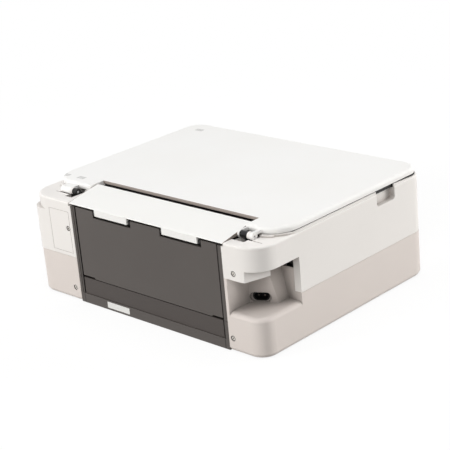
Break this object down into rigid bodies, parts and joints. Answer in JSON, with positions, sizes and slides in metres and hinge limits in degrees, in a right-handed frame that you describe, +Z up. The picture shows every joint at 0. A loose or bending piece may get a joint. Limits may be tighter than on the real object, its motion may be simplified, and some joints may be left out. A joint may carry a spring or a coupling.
{
  "type": "inkjet printer",
  "caption": "All-in-one inkjet printer with flatbed scanner under a hinged lid, rear paper support, front cassette and output tray.",
  "frame": {"origin": "middle of the footprint, on the surface that the feet stand on", "axes": "+X to the right seen from the front, +Y to the rear, +Z up"},
  "size_m": [0.47, 0.37, 0.172],
  "materials": {
    "white_abs": "fine satin",
    "grey_abs": "fine texture",
    "dark_abs": "fine texture",
    "black_abs": "fine texture",
    "black_gloss": "gloss",
    "display_glass": "gloss",
    "scan_glass": "clear",
    "foam_white": "matt",
    "steel": "ground",
    "zinc_steel": "zinc plated",
    "rubber_black": "matt",
    "gear_pom": "moulded",
    "board_green": "solder mask",
    "ink_black": "gloss",
    "ink_colour": "gloss",
    "button_grey": "satin"
  },
  "bodies": {
    "chassis": {"lower_housing": "grey_abs", "upper_housing": "white_abs", "base_plate": "black_abs", "rubber_feet": "rubber_black", "rear_frame": "dark_abs", "lower_rear_cover": "dark_abs", "housing_screws": "zinc_steel", "power_inlet": "black_abs", "inlet_pins": "zinc_steel", "usb_port": "zinc_steel", "power_supply": "black_abs", "main_board": "board_green", "print_chassis": "zinc_steel", "guide_rail": "steel", "platen": "black_abs", "drive_belt": "rubber_black", "carriage_motor": "zinc_steel", "feed_motor": "zinc_steel", "rear_feed_tray": "black_abs", "transport_guide": "black_abs", "hinge_brackets": "black_abs", "hinge_pins": "steel"},
    "lid": {"lid": "white_abs", "lid_pad": "foam_white"},
    "scanner": {"scanner_frame": "black_abs", "scanner_bezel": "black_abs", "scanner_glass": "scan_glass", "scan_rod": "steel"},
    "scan_bar": {"scan_bar": "black_abs"},
    "paper_support": {"paper_support": "white_abs"},
    "rear_guide_left": {"rear_guide_left": "black_abs"},
    "rear_guide_right": {"rear_guide_right": "black_abs"},
    "rear_roller": {"rear_roller": "rubber_black"},
    "transport_cover": {"transport_cover": "dark_abs"},
    "reverse_roller": {"reverse_roller": "rubber_black"},
    "carriage": {"carriage": "black_abs", "black_tank": "ink_black", "colour_tanks": "ink_colour"},
    "motor_pulley": {"motor_pulley": "gear_pom"},
    "idler_pulley": {"idler_pulley": "gear_pom"},
    "feed_roller": {"feed_roller": "steel", "feed_gear": "gear_pom"},
    "idler_gear": {"idler_gear": "gear_pom"},
    "eject_roller": {"eject_roller": "steel", "eject_gear": "gear_pom"},
    "motor_pinion": {"motor_pinion": "gear_pom"},
    "cap_unit": {"cap_unit": "black_abs"},
    "control_panel": {"control_panel": "black_gloss", "display": "display_glass"},
    "output_tray": {"output_tray": "grey_abs"},
    "tray_extension": {"tray_extension": "grey_abs"},
    "paper_cassette": {"paper_cassette": "grey_abs"},
    "cassette_guide_left": {"cassette_guide_left": "black_abs"},
    "cassette_guide_right": {"cassette_guide_right": "black_abs"},
    "power_button": {"power_button": "button_grey"},
    "menu_button": {"menu_button": "button_grey"},
    "ok_button": {"ok_button": "button_grey"},
    "stop_button": {"stop_button": "button_grey"},
    "mono_button": {"mono_button": "button_grey"},
    "colour_button": {"colour_button": "button_grey"}
  },
  "joints": [
    {"name": "scanner_lift", "type": "hinge", "parent": "chassis", "child": "scanner", "pos_m": [0, 0.151, 0.1635], "axis": [-1, 0, 0], "range_deg": [0, 32]},
    {"name": "lid_open", "type": "hinge", "parent": "scanner", "child": "lid", "pos_m": [0, 0.151, 0.1635], "axis": [-1, 0, 0], "range_deg": [0, 75]},
    {"name": "scan_travel", "type": "slide", "parent": "scanner", "child": "scan_bar", "axis": [0, 1, 0], "range_m": [0, 0.196]},
    {"name": "support_open", "type": "hinge", "parent": "chassis", "child": "paper_support", "pos_m": [0, 0.18, 0.152], "axis": [-1, 0, 0], "range_deg": [0, 100]},
    {"name": "rear_guide_left_slide", "type": "slide", "parent": "chassis", "child": "rear_guide_left", "axis": [1, 0, 0], "range_m": [0, 0.053]},
    {"name": "rear_guide_right_slide", "type": "slide", "parent": "chassis", "child": "rear_guide_right", "axis": [-1, 0, 0], "range_m": [0, 0.053]},
    {"name": "rear_roller_turn", "type": "hinge", "parent": "chassis", "child": "rear_roller", "pos_m": [0, 0.12, 0.099], "axis": [1, 0, 0], "continuous": true},
    {"name": "transport_cover_open", "type": "hinge", "parent": "chassis", "child": "transport_cover", "pos_m": [0, 0.1794, 0.0525], "axis": [-1, 0, 0], "range_deg": [0, 90]},
    {"name": "reverse_roller_turn", "type": "hinge", "parent": "chassis", "child": "reverse_roller", "pos_m": [0, 0.158, 0.056], "axis": [1, 0, 0], "continuous": true},
    {"name": "carriage_travel", "type": "slide", "parent": "chassis", "child": "carriage", "axis": [-1, 0, 0], "range_m": [0, 0.255]},
    {"name": "motor_pulley_turn", "type": "hinge", "parent": "chassis", "child": "motor_pulley", "pos_m": [0.191, 0, 0.1], "axis": [0, 1, 0], "continuous": true},
    {"name": "idler_pulley_turn", "type": "hinge", "parent": "chassis", "child": "idler_pulley", "pos_m": [-0.169, 0, 0.1], "axis": [0, 1, 0], "continuous": true},
    {"name": "feed_roller_turn", "type": "hinge", "parent": "chassis", "child": "feed_roller", "pos_m": [0, 0.066, 0.0605], "axis": [1, 0, 0], "continuous": true},
    {"name": "idler_gear_turn", "type": "hinge", "parent": "chassis", "child": "idler_gear", "pos_m": [0, 0.038, 0.0605], "axis": [1, 0, 0], "continuous": true},
    {"name": "eject_roller_turn", "type": "hinge", "parent": "chassis", "child": "eject_roller", "pos_m": [0, 0.016, 0.0605], "axis": [1, 0, 0], "continuous": true},
    {"name": "motor_pinion_turn", "type": "hinge", "parent": "chassis", "child": "motor_pinion", "pos_m": [0, 0.066, 0.0845], "axis": [1, 0, 0], "continuous": true},
    {"name": "cap_lower", "type": "slide", "parent": "chassis", "child": "cap_unit", "axis": [0, 0, -1], "range_m": [0, 0.004]},
    {"name": "panel_tilt", "type": "hinge", "parent": "chassis", "child": "control_panel", "pos_m": [0, -0.177, 0.144], "axis": [-1, 0, 0], "range_deg": [0, 40]},
    {"name": "output_tray_pull", "type": "slide", "parent": "chassis", "child": "output_tray", "axis": [0, -1, 0], "range_m": [0, 0.13]},
    {"name": "tray_extension_pull", "type": "slide", "parent": "output_tray", "child": "tray_extension", "axis": [0, -1, 0], "range_m": [0, 0.11]},
    {"name": "cassette_pull", "type": "slide", "parent": "chassis", "child": "paper_cassette", "axis": [0, -1, 0], "range_m": [0, 0.2]},
    {"name": "cassette_guide_left_slide", "type": "slide", "parent": "paper_cassette", "child": "cassette_guide_left", "axis": [1, 0, 0], "range_m": [0, 0.055]},
    {"name": "cassette_guide_right_slide", "type": "slide", "parent": "paper_cassette", "child": "cassette_guide_right", "axis": [-1, 0, 0], "range_m": [0, 0.055]},
    {"name": "power_press", "type": "slide", "parent": "control_panel", "child": "power_button", "axis": [0, 1, 0], "range_m": [0, 0.0012], "stiffness_N_per_m": 250},
    {"name": "menu_press", "type": "slide", "parent": "control_panel", "child": "menu_button", "axis": [0, 1, 0], "range_m": [0, 0.0012], "stiffness_N_per_m": 250},
    {"name": "ok_press", "type": "slide", "parent": "control_panel", "child": "ok_button", "axis": [0, 1, 0], "range_m": [0, 0.0012], "stiffness_N_per_m": 250},
    {"name": "stop_press", "type": "slide", "parent": "control_panel", "child": "stop_button", "axis": [0, 1, 0], "range_m": [0, 0.0012], "stiffness_N_per_m": 250},
    {"name": "mono_press", "type": "slide", "parent": "control_panel", "child": "mono_button", "axis": [0, 1, 0], "range_m": [0, 0.0012], "stiffness_N_per_m": 250},
    {"name": "colour_press", "type": "slide", "parent": "control_panel", "child": "colour_button", "axis": [0, 1, 0], "range_m": [0, 0.0012], "stiffness_N_per_m": 250}
  ],
  "couplings": [
    {"joint": "rear_guide_right_slide", "follows": "rear_guide_left_slide", "ratio": 1},
    {"joint": "cassette_guide_right_slide", "follows": "cassette_guide_left_slide", "ratio": 1},
    {"joint": "motor_pulley_turn", "follows": "carriage_travel", "rad_per_m": 153.85},
    {"joint": "idler_pulley_turn", "follows": "carriage_travel", "rad_per_m": 153.85},
    {"joint": "idler_gear_turn", "follows": "feed_roller_turn", "ratio": -1.8},
    {"joint": "eject_roller_turn", "follows": "feed_roller_turn", "ratio": 1.5},
    {"joint": "motor_pinion_turn", "follows": "feed_roller_turn", "ratio": -3}
  ]
}
